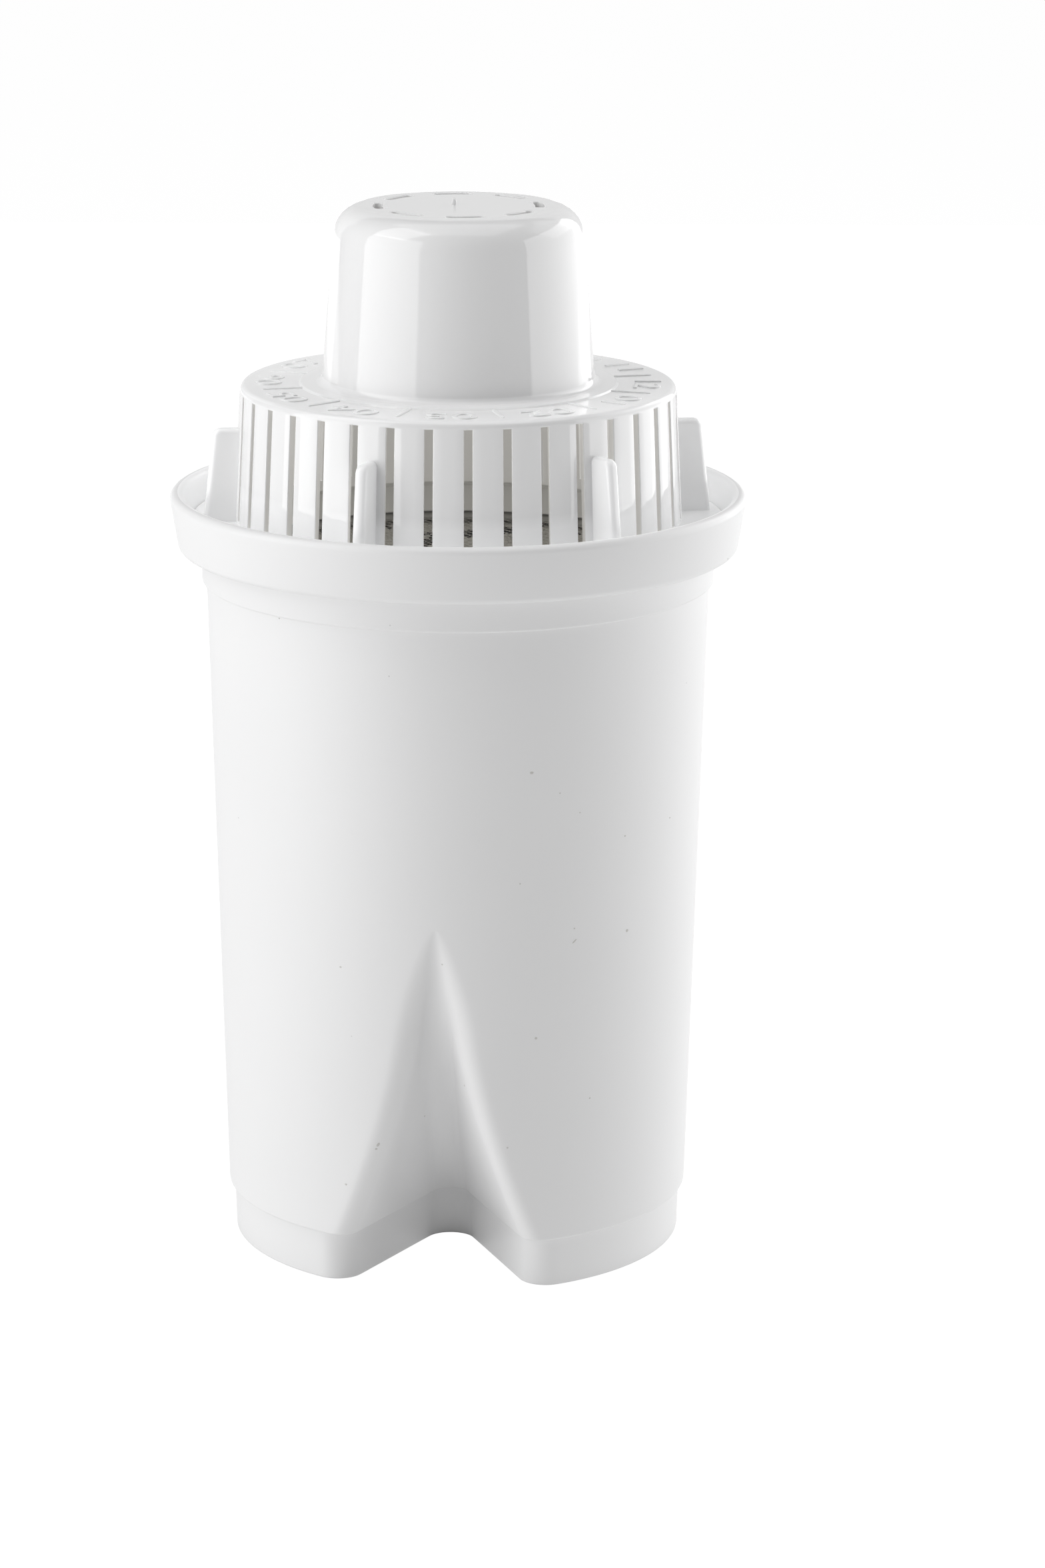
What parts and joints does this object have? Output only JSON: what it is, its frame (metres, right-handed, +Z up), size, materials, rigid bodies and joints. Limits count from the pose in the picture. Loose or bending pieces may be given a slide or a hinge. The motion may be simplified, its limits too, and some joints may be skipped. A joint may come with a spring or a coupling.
{
  "type": "water pitcher filter cartridge",
  "caption": "Tapered drop-in filter cartridge for a water pitcher, with a notched base, a funnel rim, a slotted domed cap and a bed of granules between two screens.",
  "frame": {"origin": "middle of the base, on the surface it stands on", "axes": "+Z up along the cartridge's axis from the base to the top of the cap, -Y out through the front notch, +Y out through the back notch"},
  "size_m": [0.075, 0.075, 0.1378],
  "materials": {
    "cup_plastic": "satin white moulded polypropylene",
    "cap_plastic": "semi-gloss white moulded polypropylene",
    "screen_mesh": "fine pale woven screen",
    "screen_fleece": "pale felted pad",
    "granules": "matt black carbon granules mixed with pale resin beads"
  },
  "bodies": {
    "root": {"cup": "cup_plastic", "cap": "cap_plastic", "inlet_screen": "screen_mesh", "outlet_screen": "screen_fleece", "granule_bed": "granules"}
  },
  "joints": []
}
